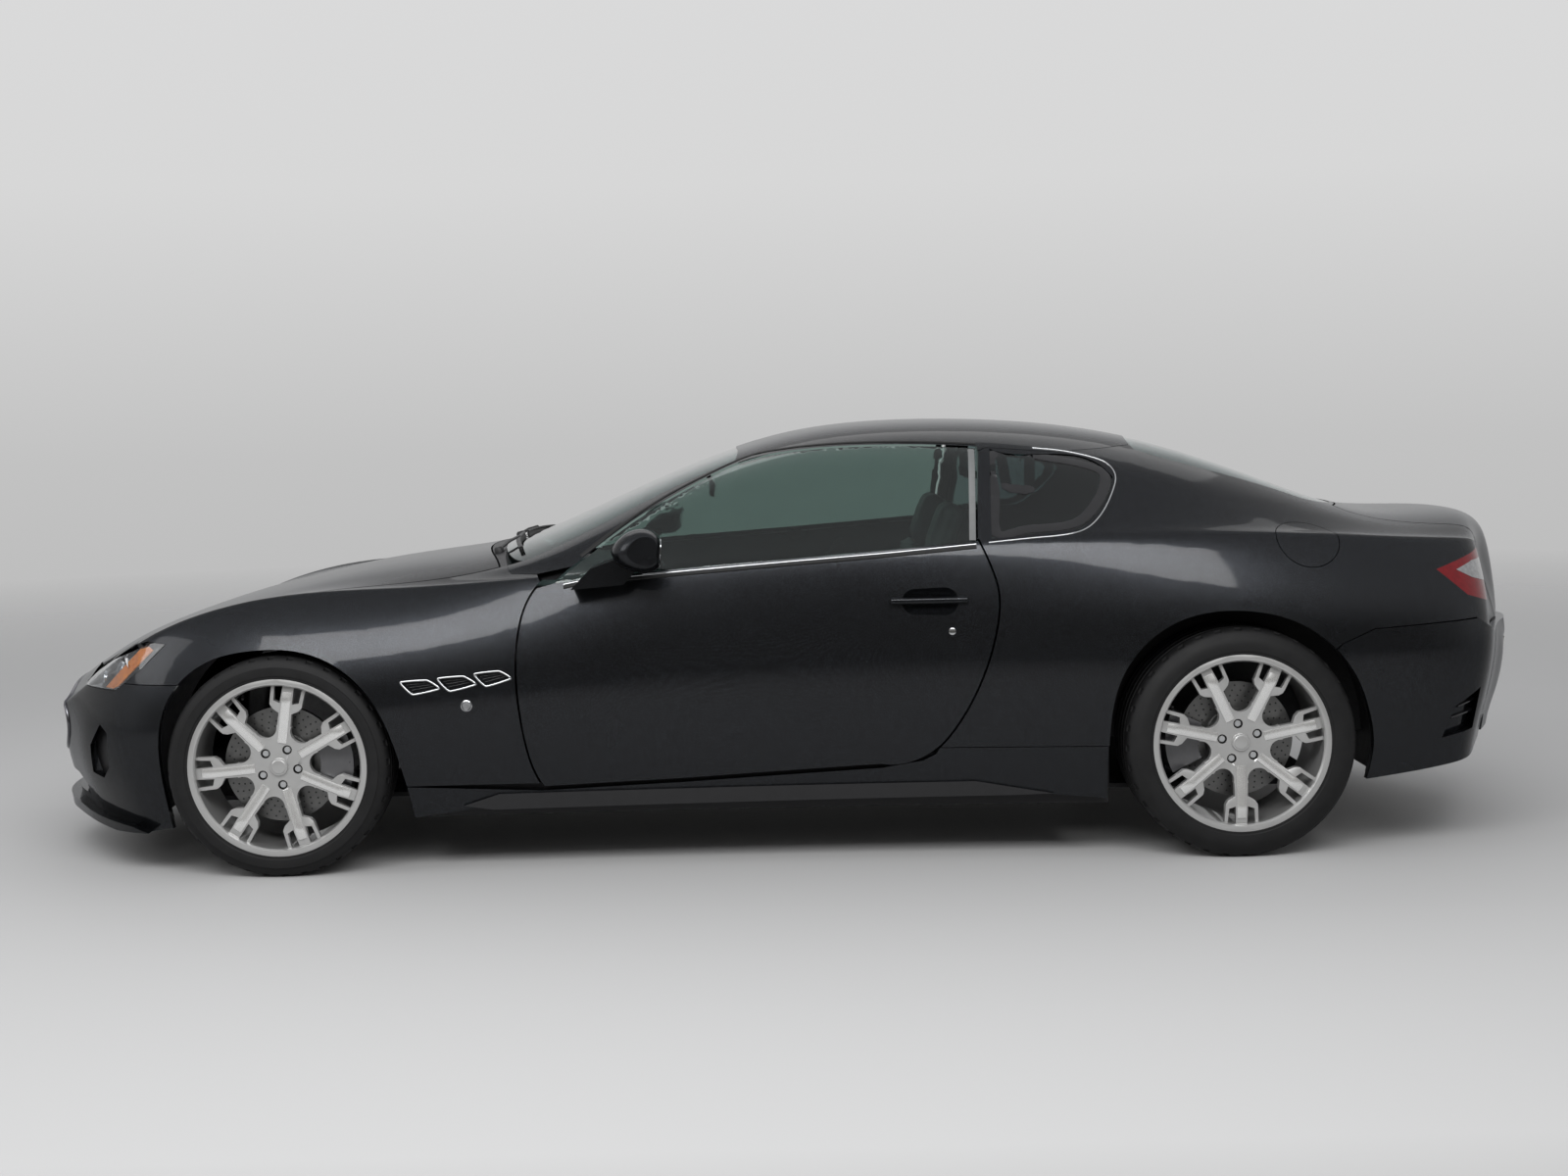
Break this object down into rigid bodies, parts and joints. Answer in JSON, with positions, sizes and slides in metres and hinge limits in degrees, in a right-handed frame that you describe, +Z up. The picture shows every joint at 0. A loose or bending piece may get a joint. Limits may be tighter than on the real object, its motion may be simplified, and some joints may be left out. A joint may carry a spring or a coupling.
{
  "type": "two-door coupe car",
  "caption": "Low two-door coupe with a long bonnet, sloping roof, multi-spoke alloy wheels, opening doors and lids, steered front wheels and a fitted cabin.",
  "frame": {"origin": "on the ground below the centre of the car's bounding box", "axes": "+X towards the nose, +Y to the driver's left, +Z up"},
  "size_m": [4.8936, 2.176, 1.3519],
  "materials": {
    "body_paint": "dark grey metallic lacquer",
    "frame_primer": "satin black primer",
    "black_trim": "gloss black",
    "dark_plastic": "matt black",
    "grille_metal": "dark chrome",
    "tinted_glass": "blue-green tint",
    "lamp_lens": "clear",
    "lamp_red": "red lens",
    "rim_silver": "silver lacquer",
    "tyre_black": "black rubber",
    "disc_iron": "ground",
    "carrier_metal": "cast, silver caliper",
    "leather_dark": "charcoal",
    "exhaust_steel": "polished tips",
    "engine_metal": "cast"
  },
  "bodies": {
    "shell": {"body_frame": "frame_primer", "body_sides": "body_paint", "cowl": "dark_plastic", "dashboard": "leather_dark", "engine_block": "engine_metal", "exhaust": "exhaust_steel", "firewall": "frame_primer", "floor_pan": "dark_plastic", "front_bumper": "body_paint", "front_seats": "leather_dark", "front_subframe": "frame_primer", "fuel_flap": "body_paint", "grille": "grille_metal", "headlamps": "lamp_lens", "intake_grilles": "dark_plastic", "quarter_windows": "tinted_glass", "rear_axle": "carrier_metal", "rear_bulkhead": "dark_plastic", "rear_bumper": "body_paint", "rear_seats": "leather_dark", "rear_window": "tinted_glass", "roof": "body_paint", "side_skirts": "body_paint", "sill_blades": "black_trim", "splitter": "body_paint", "steering_wheel": "leather_dark", "tail_lamps": "lamp_red", "wheel_liners": "dark_plastic", "windscreen": "tinted_glass", "wings": "body_paint"},
    "door_assembly_left": {"door_left": "body_paint", "door_glass_left": "tinted_glass", "mirror_left": "body_paint", "handle_left": "grille_metal"},
    "door_assembly_right": {"door_right": "body_paint", "door_glass_right": "tinted_glass", "mirror_right": "body_paint", "handle_right": "grille_metal"},
    "bonnet_lid": {"bonnet": "body_paint"},
    "boot": {"boot_lid": "body_paint"},
    "upright_left": {"knuckle_left": "carrier_metal"},
    "upright_right": {"knuckle_right": "carrier_metal"},
    "wheel_front_left": {"rim_front_left": "rim_silver", "tyre_front_left": "tyre_black", "brake_disc_front_left": "disc_iron"},
    "wheel_front_right": {"rim_front_right": "rim_silver", "tyre_front_right": "tyre_black", "brake_disc_front_right": "disc_iron"},
    "wheel_rear_left": {"rim_rear_left": "rim_silver", "tyre_rear_left": "tyre_black", "brake_disc_rear_left": "disc_iron"},
    "wheel_rear_right": {"rim_rear_right": "rim_silver", "tyre_rear_right": "tyre_black", "brake_disc_rear_right": "disc_iron"}
  },
  "joints": [
    {"name": "door_left_hinge", "type": "hinge", "parent": "shell", "child": "door_assembly_left", "pos_m": [0.845, 0.908, 0.6], "axis": [0, 0, -1], "range_deg": [0, 62]},
    {"name": "door_right_hinge", "type": "hinge", "parent": "shell", "child": "door_assembly_right", "pos_m": [0.845, -0.908, 0.6], "axis": [0, 0, 1], "range_deg": [0, 62]},
    {"name": "bonnet_hinge", "type": "hinge", "parent": "shell", "child": "bonnet_lid", "pos_m": [0.878, 0, 0.966], "axis": [0, -1, 0], "range_deg": [0, 50]},
    {"name": "boot_hinge", "type": "hinge", "parent": "shell", "child": "boot", "pos_m": [-1.768, 0, 1.045], "axis": [0, 1, 0], "range_deg": [0, 70]},
    {"name": "steer_left", "type": "hinge", "parent": "shell", "child": "upright_left", "pos_m": [1.57, 0.75, 0.33975], "axis": [0, 0, 1], "range_deg": [-32, 32]},
    {"name": "steer_right", "type": "hinge", "parent": "shell", "child": "upright_right", "pos_m": [1.57, -0.75, 0.33975], "axis": [0, 0, 1], "range_deg": [-32, 32]},
    {"name": "spin_front_left", "type": "hinge", "parent": "upright_left", "child": "wheel_front_left", "pos_m": [1.57, 0.793, 0.33975], "axis": [0, 1, 0], "continuous": true},
    {"name": "spin_front_right", "type": "hinge", "parent": "upright_right", "child": "wheel_front_right", "pos_m": [1.57, -0.793, 0.33975], "axis": [0, 1, 0], "continuous": true},
    {"name": "spin_rear_left", "type": "hinge", "parent": "shell", "child": "wheel_rear_left", "pos_m": [-1.372, 0.795, 0.35375], "axis": [0, 1, 0], "continuous": true},
    {"name": "spin_rear_right", "type": "hinge", "parent": "shell", "child": "wheel_rear_right", "pos_m": [-1.372, -0.795, 0.35375], "axis": [0, 1, 0], "continuous": true}
  ],
  "couplings": [
    {"joint": "steer_right", "follows": "steer_left", "ratio": 1}
  ]
}
